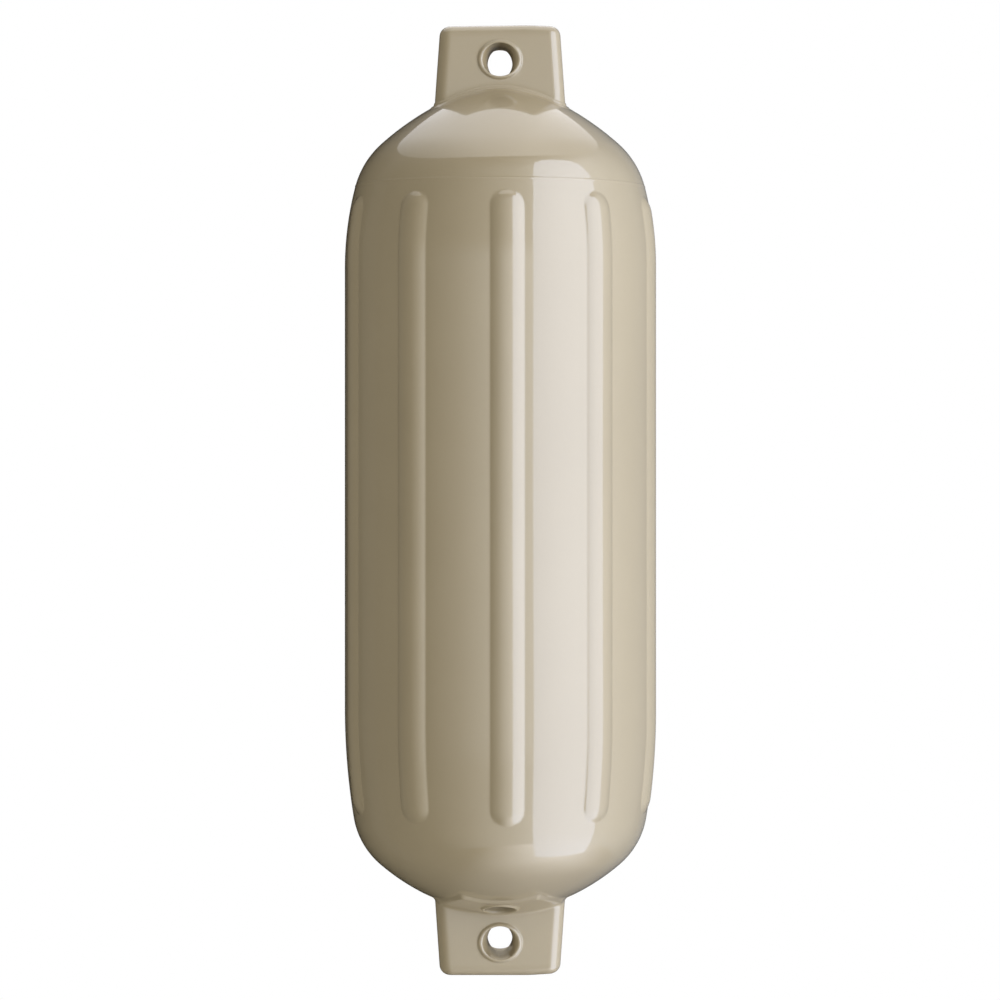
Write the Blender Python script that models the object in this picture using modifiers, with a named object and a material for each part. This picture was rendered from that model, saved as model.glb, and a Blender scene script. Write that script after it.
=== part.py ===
"""Ribbed twin-eye inflatable boat fender, 224 mm across and 678 mm long, with a screw valve.

Metres, +Z up along the fender, which hangs by its upper eye. The origin is the middle of its
bounding box. The rope eyes run along Y, and the valve faces the front, -Y, beside the lower eye.
"""

import math
from collections import namedtuple

import bmesh
import bpy
from mathutils import Matrix, Vector

MM = 0.001

# Body
LENGTH = 678 * MM
BARREL_RADIUS = 112 * MM
WALL = 4 * MM

# A shoulder is three tangent arcs that start where the barrel ends, this far from the ear's tip.
# An arc's END is its steepness there in degrees. The last arc, the crown, runs on to the axis.
TOP_SHOULDER_FROM_TIP = 172.8 * MM
TOP_EASING_RADIUS = 231 * MM
TOP_EASING_END = 14.55
TOP_TURN_RADIUS = 61.8 * MM
TOP_TURN_END = 48.1
TOP_CROWN_RADIUS = 205.7 * MM
LOW_SHOULDER_FROM_TIP = 189.4 * MM
LOW_EASING_RADIUS = 487 * MM
LOW_EASING_END = 9.25
LOW_TURN_RADIUS = 54.4 * MM
LOW_TURN_END = 48.8
LOW_CROWN_RADIUS = 156.3 * MM

# Ribs
RIB_COUNT = 10
RIB_WIDTH = 23.4 * MM
RIB_HEIGHT = 3.5 * MM
RIB_TOP_FROM_TIP = 123.5 * MM
RIB_BOTTOM_FROM_TIP = 117.3 * MM
FRONT_RIB_TURN = 2.5  # degrees from the front towards +X

# Ears
EAR_TIP_WIDTH = 85.4 * MM
EAR_SIDE_DRAFT = 3.95  # degrees
EAR_THICKNESS = 48 * MM
EAR_ROUND = 5.5 * MM
EAR_LENGTH = 77 * MM  # from its tip to its foot inside the shell

# Rope eyes
EYE_FROM_TIP = 24.5 * MM
EYE_WAIST_RADIUS = 9.2 * MM
EYE_WAIST_LENGTH = 16 * MM
EYE_MOUTH_RADIUS = 12.6 * MM
COLLAR_RADIUS = 14.5 * MM
COLLAR_BEAD = 2.4 * MM
COLLAR_SINK = 0.4 * MM
COLLAR_SQUASH = 0.88  # height over width
EYE_STRETCH = 1.08  # height over width

# Valve land, a low pad that is rounded across and straight along the slope
LAND_SLOPE = 20.3  # degrees
LAND_ARCH = 138 * MM
LAND_FRONT = 57 * MM
LAND_FRONT_WIDTH = 54 * MM
LAND_BACK_WIDTH = 90 * MM
LAND_SIDE = 28 * MM
LAND_PROUD = 1.0 * MM
LAND_BLOCK = 60 * MM  # height of the block that the land is cut from
LAND_BLOCK_LIFT = 5 * MM

# Valve
VALVE_REACH = 40 * MM
LIP_RADIUS = 12.2 * MM
LIP_BEAD = 1.6 * MM
POCKET_RADIUS = 11 * MM
POCKET_DEPTH = 8 * MM
POCKET_CORNER = 1.5 * MM
BOSS_RADIUS = 15 * MM
BOSS_LENGTH = 27 * MM
BOSS_CHAMFER = 2 * MM
SEAT_FLANGE_RADIUS = 8.6 * MM
SEAT_FLANGE = 1.8 * MM
SEAT_RADIUS = 6.6 * MM
SEAT_BARB = 0.6 * MM
SEAT_BARBS = 4
SEAT_LENGTH = 21 * MM
SEAT_NECK = 1 * MM  # plain stretch at either end of the barbs
SEAT_RECESS_RADIUS = 5.7 * MM
SEAT_RECESS = 3.6 * MM
SEAT_BORE_RADIUS = 3.4 * MM
SEAL_SECTION = 0.8 * MM
SCREW_HEAD = 2.4 * MM
SCREW_LENGTH = 17 * MM
SCREW_CHAMFER = 0.5 * MM
SCREW_SLOT_WIDTH = 1.2 * MM
SCREW_SLOT_DEPTH = 1.1 * MM
GAP = 0.3 * MM

# How finely round shapes are cut into flats
BODY_STEPS = 60
CAVITY_STEPS = 36
SKIN_ARC_PIECES = (3, 4, 3)
CAVITY_ARC_PIECES = (2, 4, 2)
RIB_BAR_RESOLUTION = 8
RIB_END_SHARES = (1.15, 0.97, 0.75, 0.5, 0.25)  # of half the rib's width; past 1 it is buried
EAR_ROUND_STEPS = 3
EYE_STEPS = 24
EYE_FLARE_SHARES = (1.0, 0.95, 0.8, 0.5, 0.0)
LAND_STEPS = 96
VALVE_STEPS = 24
INSERT_STEPS = 48
POCKET_STEPS = 28
COLLAR_BEAD_STEPS = 8
RING_SECTION_STEPS = 10

VINYL = ((0.36, 0.29, 0.18), 0.3)
BUSH_PLASTIC = ((0.05, 0.05, 0.05), 0.4)
SCREW_PLASTIC = ((0.6, 0.6, 0.58), 0.35)
SEAL_RUBBER = ((0.02, 0.02, 0.02), 0.7)


Shoulder = namedtuple("Shoulder", "start easing easing_end turn turn_end crown")
TOP_SHOULDER = Shoulder(
    start=LENGTH / 2 - TOP_SHOULDER_FROM_TIP,
    easing=TOP_EASING_RADIUS,
    easing_end=TOP_EASING_END,
    turn=TOP_TURN_RADIUS,
    turn_end=TOP_TURN_END,
    crown=TOP_CROWN_RADIUS,
)
LOW_SHOULDER = Shoulder(
    start=LENGTH / 2 - LOW_SHOULDER_FROM_TIP,
    easing=LOW_EASING_RADIUS,
    easing_end=LOW_EASING_END,
    turn=LOW_TURN_RADIUS,
    turn_end=LOW_TURN_END,
    crown=LOW_CROWN_RADIUS,
)


def clear_scene():
    for obj in list(bpy.data.objects):
        bpy.data.objects.remove(obj, do_unlink=True)


def new_collection(name):
    group = bpy.data.collections.new(name)
    bpy.context.scene.collection.children.link(group)
    return group


def new_material(name, look):
    colour, roughness = look
    material = bpy.data.materials.new(name)
    material.use_nodes = True
    shader = material.node_tree.nodes["Principled BSDF"]
    shader.inputs["Base Color"].default_value = (*colour, 1)
    shader.inputs["Roughness"].default_value = roughness
    shader.inputs["Metallic"].default_value = 0
    return material


def add_mesh(name, mesh, group):
    obj = bpy.data.objects.new(name, mesh)
    group.objects.link(obj)
    return obj


def add_bmesh(name, bm, group):
    mesh = bpy.data.meshes.new(name)
    bm.to_mesh(mesh)
    bm.free()
    return add_mesh(name, mesh, group)


def make_helper(obj):
    """Marks an object that only cuts or joins another one."""
    obj.hide_render = True
    obj.display_type = "WIRE"
    return obj


def combine(target, operand, operation):
    """Joins the operand to the target, cuts it away, or keeps what they share."""
    modifier = target.modifiers.new(f"{operation.lower()} {operand.name}", "BOOLEAN")
    modifier.operation = operation
    modifier.solver = "EXACT"
    modifier.object = operand
    return target


def turned(name, profile, steps, group, ring=False):
    """A turned shape. Its profile of (radius, height) runs down its outer side, top to bottom,
    and ends on the axis, or closes on itself where the shape is a ring."""
    bm = bmesh.new()
    points = [bm.verts.new((radius, 0, height)) for radius, height in profile]
    for first, second in zip(points, points[1:]):
        bm.edges.new((first, second))
    if ring:
        bm.edges.new((points[-1], points[0]))
    obj = add_bmesh(name, bm, group)
    screw = obj.modifiers.new("turn", "SCREW")
    screw.axis = "Z"
    screw.angle = math.tau
    screw.steps = screw.render_steps = steps
    screw.use_merge_vertices = True
    screw.merge_threshold = 0.01 * MM
    screw.use_smooth_shade = True
    return obj


def curve_to_mesh(obj, group):
    """Swaps a curve object for a mesh one of the same name, with its caps welded on."""
    graph = bpy.context.evaluated_depsgraph_get()
    mesh = bpy.data.meshes.new_from_object(obj.evaluated_get(graph))
    bm = bmesh.new()
    bm.from_mesh(mesh)
    bmesh.ops.remove_doubles(bm, verts=bm.verts, dist=0.001 * MM)
    bm.to_mesh(mesh)
    bm.free()
    name = obj.name
    place = obj.matrix_world.copy()
    bpy.data.objects.remove(obj, do_unlink=True)
    solid = add_mesh(name, mesh, group)
    solid.matrix_world = place
    return solid


def poly_spline(curve, points, cyclic=False):
    spline = curve.splines.new("POLY")
    spline.points.add(len(points) - 1)
    for slot, point in zip(spline.points, points):
        slot.co = (*point, 1)
    spline.use_cyclic_u = cyclic
    return spline


def arc(centre, radius, start, end, pieces):
    """Points of an arc of (radius, height), from one steepness to another, in degrees."""
    points = []
    for step in range(pieces + 1):
        angle = math.radians(start + (end - start) * step / pieces)
        points.append((centre[0] + radius * math.cos(angle), centre[1] + radius * math.sin(angle)))
    return points


def shoulder_arcs(shoulder, inset=0.0):
    """The three arcs of a shoulder as (centre, radius, start, end), moved inwards by inset."""
    easing_centre = (BARREL_RADIUS - shoulder.easing, shoulder.start)
    first = math.radians(shoulder.easing_end)
    reach = shoulder.easing - shoulder.turn
    turn_centre = (
        easing_centre[0] + reach * math.cos(first),
        easing_centre[1] + reach * math.sin(first),
    )
    second = math.radians(shoulder.turn_end)
    reach = shoulder.turn - shoulder.crown
    crown_centre = (
        turn_centre[0] + reach * math.cos(second),
        turn_centre[1] + reach * math.sin(second),
    )
    crown = shoulder.crown - inset
    pole = math.degrees(math.acos(-crown_centre[0] / crown))
    return (
        (easing_centre, shoulder.easing - inset, 0.0, shoulder.easing_end),
        (turn_centre, shoulder.turn - inset, shoulder.easing_end, shoulder.turn_end),
        (crown_centre, crown, shoulder.turn_end, pole),
    )


def crown_height(shoulder, radius):
    """Height of the outer skin at this radius, where that lies on the last arc."""
    centre, crown, _, _ = shoulder_arcs(shoulder)[2]
    return centre[1] + math.sqrt(crown**2 - (radius - centre[0]) ** 2)


def shoulder_points(shoulder, inset, pieces):
    """A shoulder's outline from the barrel to the axis, as (radius, height)."""
    points = []
    for (centre, radius, start, end), count in zip(shoulder_arcs(shoulder, inset), pieces):
        points += arc(centre, radius, start, end, count)[bool(points) :]
    points[-1] = (0.0, points[-1][1])
    return points


def shell_profile(inset, pieces):
    """The whole body's outline, from the top of the axis to its bottom."""
    top = shoulder_points(TOP_SHOULDER, inset, pieces)[::-1]
    low = [(r, -z) for r, z in shoulder_points(LOW_SHOULDER, inset, pieces)]
    return top + low


def rib_section_radius():
    """Radius of the round bar whose top stands out as a rib of the named width and height."""
    return ((RIB_WIDTH / 2) ** 2 + RIB_HEIGHT**2) / (2 * RIB_HEIGHT)


def rib_end(shoulder, reach, sink):
    """One half of a rib's path, from its end at this reach to the shoulder's start, as (radius,
    height, scale). Past the centre of its round end the bar thins as a ball does."""
    bar = rib_section_radius()
    middle = BARREL_RADIUS - shoulder.easing
    end_angle = math.asin((reach - shoulder.start) / shoulder.easing)
    centre_angle = end_angle - RIB_WIDTH / 2 / shoulder.easing
    points = []
    for share in RIB_END_SHARES:
        past = share * RIB_WIDTH / 2
        angle = centre_angle + past / shoulder.easing
        points.append((angle, math.sqrt(bar**2 - past**2) / bar))
    points += [(centre_angle * share, 1.0) for share in (1, 2 / 3, 1 / 3, 0)]
    radius = shoulder.easing - sink
    return [
        (middle + radius * math.cos(angle), shoulder.start + radius * math.sin(angle), scale)
        for angle, scale in points
    ]


def make_ribs(group):
    """All the ribs as one mesh of separate bars, sunk so that only their tops stand out."""
    bar = rib_section_radius()
    sink = bar - RIB_HEIGHT
    top = rib_end(TOP_SHOULDER, LENGTH / 2 - RIB_TOP_FROM_TIP, sink)
    low_end = rib_end(LOW_SHOULDER, LENGTH / 2 - RIB_BOTTOM_FROM_TIP, sink)
    low = [(r, -z, scale) for r, z, scale in low_end]
    path = top + low[::-1]
    curve = bpy.data.curves.new("ribs", "CURVE")
    curve.dimensions = "3D"
    curve.bevel_depth = bar
    curve.bevel_resolution = RIB_BAR_RESOLUTION
    curve.use_fill_caps = True
    for index in range(RIB_COUNT):
        turn = math.radians(FRONT_RIB_TURN - 90) + math.tau * index / RIB_COUNT
        points = [(r * math.cos(turn), r * math.sin(turn), z) for r, z, _ in path]
        spline = poly_spline(curve, points)
        for slot, (_, _, scale) in zip(spline.points, path):
            slot.radius = scale
    obj = bpy.data.objects.new("ribs", curve)
    group.objects.link(obj)
    return make_helper(curve_to_mesh(obj, group))


def ear_half_width(height):
    tip = LENGTH / 2
    return EAR_TIP_WIDTH / 2 + (tip - height) * math.tan(math.radians(EAR_SIDE_DRAFT))


def make_ear(name, end, group):
    """A flat block that narrows towards its tip. end is 1 for the upper ear, -1 for the lower."""
    bm = bmesh.new()
    bmesh.ops.create_cube(bm, size=2)
    for vert in bm.verts:
        height = LENGTH / 2 if vert.co.z > 0 else LENGTH / 2 - EAR_LENGTH
        side = math.copysign(ear_half_width(height), vert.co.x)
        vert.co = (side, vert.co.y * EAR_THICKNESS / 2, end * height)
    bmesh.ops.recalc_face_normals(bm, faces=bm.faces)
    ear = add_bmesh(name, bm, group)
    bevel = ear.modifiers.new("round", "BEVEL")
    bevel.width = EAR_ROUND
    bevel.segments = EAR_ROUND_STEPS
    bevel.limit_method = "NONE"
    return make_helper(ear)


def eye_height(end):
    return end * (LENGTH / 2 - EYE_FROM_TIP)


def make_collar(name, end, side, group):
    """The raised bead round a rope eye, on the ear's front (side -1) or back (side 1)."""
    bpy.ops.mesh.primitive_torus_add(
        major_radius=COLLAR_RADIUS,
        minor_radius=COLLAR_BEAD,
        major_segments=EYE_STEPS,
        minor_segments=COLLAR_BEAD_STEPS,
    )
    collar = bpy.context.object
    collar.name = name
    for user in collar.users_collection:
        user.objects.unlink(collar)
    group.objects.link(collar)
    depth = side * (EAR_THICKNESS / 2 - COLLAR_SINK)
    place = Matrix.Translation((0, depth, eye_height(end)))
    squash = Matrix.Diagonal((1, 1, COLLAR_SQUASH, 1))
    collar.data.transform(place @ squash @ Matrix.Rotation(math.pi / 2, 4, "X"))
    return make_helper(collar)


def make_eye_cutter(name, end, group):
    """The rope hole: a straight waist that flares to a wide mouth on both sides, which ends a
    third of the way up the collar. The cutter runs on well past the collar."""
    half_waist = EYE_WAIST_LENGTH / 2
    mouth_at = EAR_THICKNESS / 2 + COLLAR_BEAD / 3
    past = EAR_THICKNESS / 2 + 4 * COLLAR_BEAD
    flare = []
    for share in EYE_FLARE_SHARES:
        widening = (EYE_MOUTH_RADIUS - EYE_WAIST_RADIUS) * (1 - math.sqrt(1 - share**2))
        flare.append((EYE_WAIST_RADIUS + widening, half_waist + (mouth_at - half_waist) * share))
    upper = [(0.0, past), (EYE_MOUTH_RADIUS, past), *flare]
    profile = upper + [(r, -z) for r, z in upper[::-1]]
    cutter = turned(name, profile, EYE_STEPS, group)
    cutter.rotation_euler = (math.pi / 2, 0, 0)
    cutter.scale = (1, EYE_STRETCH, 1)
    cutter.location = (0, 0, eye_height(end))
    return make_helper(cutter)


def land_point(reach):
    """A point on the middle of the valve land, this far in front of the axis."""
    ear_face = EAR_THICKNESS / 2
    fall = math.tan(math.radians(LAND_SLOPE)) * (reach - ear_face)
    height = crown_height(LOW_SHOULDER, ear_face) + LAND_PROUD - fall
    return Vector((0, -reach, -height))


def make_valve_axis(group):
    """An empty on the land at the valve, whose +Z points straight out of the land."""
    axis = bpy.data.objects.new("valve_axis", None)
    axis.location = land_point(VALVE_REACH)
    axis.rotation_euler = (math.pi - math.radians(LAND_SLOPE), 0, 0)
    group.objects.link(axis)
    return axis


def on_valve(obj, axis, depth=0.0):
    """Puts an object on the valve's axis, this far below the land."""
    obj.parent = axis
    obj.location = (0, 0, -depth)
    return obj


def make_valve_land(axis, group):
    """The pad round the valve: a block of its outline in plan, kept where it lies inside a wide
    cylinder whose side is the land. The block starts inside the ear."""
    curve = bpy.data.curves.new("valve_land", "CURVE")
    curve.dimensions = "2D"
    curve.fill_mode = "BOTH"
    curve.extrude = LAND_BLOCK / 2
    back = EAR_THICKNESS / 4
    corners = (
        (-LAND_BACK_WIDTH / 2, -back),
        (-LAND_BACK_WIDTH / 2, -LAND_SIDE),
        (-LAND_FRONT_WIDTH / 2, -LAND_FRONT),
        (LAND_FRONT_WIDTH / 2, -LAND_FRONT),
        (LAND_BACK_WIDTH / 2, -LAND_SIDE),
        (LAND_BACK_WIDTH / 2, -back),
    )
    poly_spline(curve, [(x, y, 0) for x, y in corners], cyclic=True)
    plan = bpy.data.objects.new("valve_land", curve)
    plan.location = (0, 0, land_point(VALVE_REACH).z + LAND_BLOCK_LIFT)
    group.objects.link(plan)
    bpy.context.view_layer.update()
    land = curve_to_mesh(plan, group)

    bm = bmesh.new()
    bmesh.ops.create_cone(
        bm,
        cap_ends=True,
        segments=LAND_STEPS,
        radius1=LAND_ARCH,
        radius2=LAND_ARCH,
        depth=4 * LAND_FRONT,
        matrix=Matrix.Rotation(math.pi / 2, 4, "X"),
    )
    arch = add_bmesh("valve_land_arch", bm, group)
    on_valve(make_helper(arch), axis, LAND_ARCH)
    return make_helper(combine(land, arch, "INTERSECT"))


def ring_section(radius, section):
    """A round section of this radius, at this distance from the axis."""
    return arc((radius, 0), section, 180, -180, RING_SECTION_STEPS)[:-1]


def make_lip(axis, group):
    """The rounded bead round the valve's recess."""
    profile = ring_section(LIP_RADIUS, LIP_BEAD)
    return on_valve(make_helper(turned("valve_lip", profile, VALVE_STEPS, group, True)), axis)


def make_boss(axis, group):
    """The thick stub inside the shell that grips the valve seat."""
    top, bottom = -WALL / 2, -BOSS_LENGTH
    profile = [
        (0, top),
        (BOSS_RADIUS, top),
        (BOSS_RADIUS, bottom + BOSS_CHAMFER),
        (BOSS_RADIUS - BOSS_CHAMFER, bottom),
        (0, bottom),
    ]
    return on_valve(make_helper(turned("valve_boss", profile, VALVE_STEPS, group)), axis)


def make_pocket_cutter(axis, group):
    """The recess, with a rounded floor, and the bore for the seat through the boss."""
    centre = (POCKET_RADIUS - POCKET_CORNER, POCKET_CORNER - POCKET_DEPTH)
    floor = arc(centre, POCKET_CORNER, 0, -90, 3)
    bore = SEAT_RADIUS + GAP
    through = -BOSS_LENGTH - 2 * GAP
    profile = [
        (0, 2 * LIP_BEAD),
        (POCKET_RADIUS, 2 * LIP_BEAD),
        *floor,
        (bore, -POCKET_DEPTH),
        (bore, through),
        (0, through),
    ]
    return on_valve(make_helper(turned("valve_pocket", profile, POCKET_STEPS, group)), axis)


def make_fender_body(axis, parts, helpers):
    """The one moulding: ribbed shell, two eared ends with rope eyes, and the valve's recess."""
    body = turned("fender_body", shell_profile(0, SKIN_ARC_PIECES), BODY_STEPS, parts)
    combine(body, make_ribs(helpers), "UNION")
    combine(body, make_valve_land(axis, helpers), "UNION")
    combine(body, make_lip(axis, helpers), "UNION")
    for end, word in ((1, "upper"), (-1, "lower")):
        combine(body, make_ear(f"{word}_ear", end, helpers), "UNION")
        for side, face in ((-1, "front"), (1, "back")):
            combine(body, make_collar(f"{word}_{face}_collar", end, side, helpers), "UNION")
    cavity = shell_profile(WALL, CAVITY_ARC_PIECES)
    hollow = turned("hollow", cavity, CAVITY_STEPS, helpers)
    combine(body, make_helper(hollow), "DIFFERENCE")
    combine(body, make_boss(axis, helpers), "UNION")
    combine(body, make_pocket_cutter(axis, helpers), "DIFFERENCE")
    for end, word in ((1, "upper"), (-1, "lower")):
        combine(body, make_eye_cutter(f"{word}_eye", end, helpers), "DIFFERENCE")
    body.data.materials.append(new_material("glossy vinyl", VINYL))
    return body


def seat_top():
    """Depth of the seat's flange below the land."""
    return POCKET_DEPTH - GAP - SEAT_FLANGE


def make_valve_seat(axis, parts):
    """The turned bush that the valve screw goes into, with barbs that hold it in the boss."""
    root = SEAT_RADIUS - SEAT_BARB
    pitch = (SEAT_LENGTH - 2 * SEAT_NECK) / SEAT_BARBS
    barbs = []
    for index in range(SEAT_BARBS):
        top = -SEAT_FLANGE - SEAT_NECK - index * pitch
        barbs += [(root, top), (SEAT_RADIUS, top - SEAT_BARB), (root, top - pitch * 0.8)]
    foot = -SEAT_FLANGE - SEAT_LENGTH
    profile = [
        (SEAT_FLANGE_RADIUS - GAP, 0),
        (SEAT_FLANGE_RADIUS, -GAP),
        (SEAT_FLANGE_RADIUS, -SEAT_FLANGE),
        (root, -SEAT_FLANGE),
        *barbs[1:],
        (root, foot + GAP),
        (root - GAP, foot),
        (SEAT_BORE_RADIUS, foot),
        (SEAT_BORE_RADIUS, -SEAT_RECESS),
        (SEAT_RECESS_RADIUS, -SEAT_RECESS),
        (SEAT_RECESS_RADIUS, 0),
    ]
    seat = on_valve(turned("valve_seat", profile, INSERT_STEPS, parts, True), axis, seat_top())
    seat.data.materials.append(new_material("black nylon", BUSH_PLASTIC))
    return seat


def make_screw_seal(axis, parts):
    """The rubber ring under the screw's head."""
    radius = SEAT_RECESS_RADIUS - GAP - SEAL_SECTION
    depth = seat_top() + SEAT_RECESS - GAP - SEAL_SECTION
    ring = turned("screw_seal", ring_section(radius, SEAL_SECTION), INSERT_STEPS, parts, True)
    seal = on_valve(ring, axis, depth)
    seal.data.materials.append(new_material("black rubber", SEAL_RUBBER))
    return seal


def make_valve_screw(axis, parts, helpers):
    """The slotted plug that closes the valve."""
    head = SEAT_RECESS_RADIUS - GAP
    shank = SEAT_BORE_RADIUS - GAP
    profile = [
        (0, 0),
        (head - SCREW_CHAMFER, 0),
        (head, -SCREW_CHAMFER),
        (head, -SCREW_HEAD),
        (shank, -SCREW_HEAD),
        (shank, 2 * SCREW_CHAMFER - SCREW_LENGTH),
        (shank - 2 * SCREW_CHAMFER, -SCREW_LENGTH),
        (0, -SCREW_LENGTH),
    ]
    under_head = seat_top() + SEAT_RECESS - 2 * GAP - 2 * SEAL_SECTION
    depth = under_head - SCREW_HEAD
    screw = on_valve(turned("valve_screw", profile, INSERT_STEPS, parts), axis, depth)
    bm = bmesh.new()
    bmesh.ops.create_cube(bm, size=1)
    size = (3 * head, SCREW_SLOT_WIDTH, 2 * SCREW_SLOT_DEPTH)
    bmesh.ops.scale(bm, vec=size, verts=bm.verts)
    slot = on_valve(make_helper(add_bmesh("screw_slot", bm, helpers)), axis, depth)
    combine(screw, slot, "DIFFERENCE")
    screw.data.materials.append(new_material("grey plastic", SCREW_PLASTIC))
    return screw


def main():
    clear_scene()
    parts = new_collection("boat_fender")
    helpers = new_collection("cutters")
    axis = make_valve_axis(parts)
    make_fender_body(axis, parts, helpers)
    make_valve_seat(axis, parts)
    make_screw_seal(axis, parts)
    make_valve_screw(axis, parts, helpers)


main()
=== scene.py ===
"""Looks of a ribbed twin-eye boat fender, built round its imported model.

Metres, +Z up along the fender, which hangs by its upper eye. The front is -Y. Angles round the
axis start at the front and grow towards +X. Steepness is the angle of a surface's normal above
the horizontal: 0 on the barrel, 90 degrees on top.
"""

import bmesh
import bpy
import numpy as np
from bpy.props import FloatProperty, FloatVectorProperty, IntProperty, PointerProperty
from bpy.types import Operator, Panel, PropertyGroup
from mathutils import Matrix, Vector


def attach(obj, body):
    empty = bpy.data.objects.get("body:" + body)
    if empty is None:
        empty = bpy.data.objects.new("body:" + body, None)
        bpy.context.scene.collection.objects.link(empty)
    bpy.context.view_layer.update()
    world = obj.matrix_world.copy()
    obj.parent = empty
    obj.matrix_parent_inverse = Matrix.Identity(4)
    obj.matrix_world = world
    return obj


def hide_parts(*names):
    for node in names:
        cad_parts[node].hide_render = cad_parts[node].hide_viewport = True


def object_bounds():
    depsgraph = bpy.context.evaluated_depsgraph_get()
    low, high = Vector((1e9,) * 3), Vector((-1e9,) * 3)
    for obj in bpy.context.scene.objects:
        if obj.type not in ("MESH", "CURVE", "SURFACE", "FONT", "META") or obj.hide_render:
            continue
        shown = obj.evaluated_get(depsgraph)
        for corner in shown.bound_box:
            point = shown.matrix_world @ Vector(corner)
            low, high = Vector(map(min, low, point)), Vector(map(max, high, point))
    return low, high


bl_info = {
    "name": "Boat fender",
    "version": (1, 0, 0),
    "blender": (4, 5, 0),
    "location": "3D View > Sidebar > Fender",
    "description": "Dresses the packed boat fender and sets its studio",
    "category": "Object",
}

MM = 0.001
BEAD_FOOT = 0.7 * MM

# Half the width of the openings in the skin that take a rope eye and the recess, and how far
# towards the front the recess's opening goes, within so many rows of the low dome.
EYE_WINDOW = 18.3 * MM
RECESS_WINDOW = 15.5 * MM
RECESS_WINDOW_REACH = 55.6 * MM
LOW_DOME_ROWS = 30

# Where the vinyl is duller: within a reach of the rope eyes' height, and of the lip's (y, z).
EYE_HEIGHT = 314.2 * MM
EYE_REACH = 12.5 * MM
LIP_PLACE = (-40.0 * MM, -289.5 * MM)
LIP_REACH = 15.0 * MM

# The tall cards' plans, as (a place, a direction), and their outlines from the foot up, as
# (height, left edge, right edge). Metres.
SIDE_PLAN = ((0.31, -0.39), (0.78, 0.62))
SIDE_OUTLINE = [
    (-2.1, 0.7, 1.02),
    (-1.26, 0.146, 0.74),
    (-0.9, -0.014, 0.54),
    (-0.6, -0.102, 0.42),
    (-0.35, -0.143, 0.35),
    (0.0, -0.153, 0.313),
    (0.3, -0.15, 0.35),
    (0.51, -0.115, 0.39),
    (0.7, -0.07, 0.38),
    (0.78, -0.03, 0.36),
    (0.8, 0.03, 0.3),
]
LEFT_PLAN = ((-0.961, 0.149), (0.343, 0.939))
LEFT_OUTLINE = [(-1.96, 0.02, 0.28), (-1.8, 0, 0.3), (1.6, 0, 0.3), (1.7, 0.02, 0.28)]
EYE_PLAN = ((0, 0.15), (1, 0))
EYE_OUTLINE = [(-EYE_HEIGHT - 0.02, -0.06, 0.06), (-EYE_HEIGHT + 0.06, -0.06, 0.06)]

# How the round cards' glow changes across and towards the back, as (place, level).
LOW_ACROSS = [
    (0.375, 0),
    (0.415, 0.09),
    (0.455, 0.21),
    (0.5, 0.3),
    (0.575, 0.5),
    (0.64, 0.67),
    (0.69, 0.79),
    (0.755, 1),
]
LOW_BACK = [
    (0, 1),
    (0.35, 1),
    (0.42, 0.69),
    (0.495, 0.49),
    (0.57, 0.335),
    (0.655, 0.195),
    (0.775, 0.12),
    (0.9, 0.1),
]
TOP_ACROSS = [(0.08, 0.31), (0.25, 0.58), (0.42, 0.96), (0.62, 1), (0.75, 0.73), (0.87, 0.58)]

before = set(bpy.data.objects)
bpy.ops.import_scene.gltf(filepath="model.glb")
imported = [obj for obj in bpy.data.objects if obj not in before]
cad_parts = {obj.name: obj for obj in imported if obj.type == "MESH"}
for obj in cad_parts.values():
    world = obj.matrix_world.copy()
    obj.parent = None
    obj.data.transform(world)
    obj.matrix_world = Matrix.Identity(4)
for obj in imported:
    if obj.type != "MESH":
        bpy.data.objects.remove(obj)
CAD_LOW, CAD_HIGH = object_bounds()


def length(title, default, description):
    """A size in millimetres, kept in metres."""
    return FloatProperty(
        name=title, description=description, default=default * MM, unit="LENGTH", precision=5
    )


def angle(title, default, description):
    """An angle in degrees, kept in radians."""
    return FloatProperty(
        name=title, description=description, default=np.radians(default), unit="ROTATION"
    )


def colour(title, default, description):
    """A colour as the shader takes it."""
    return FloatVectorProperty(
        name=title, description=description, default=default, size=3, subtype="COLOR", min=0, max=1
    )


def ratio(title, default, description):
    """A height over a width."""
    return FloatProperty(
        name=title, description=description, default=default, min=0, subtype="FACTOR"
    )


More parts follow.
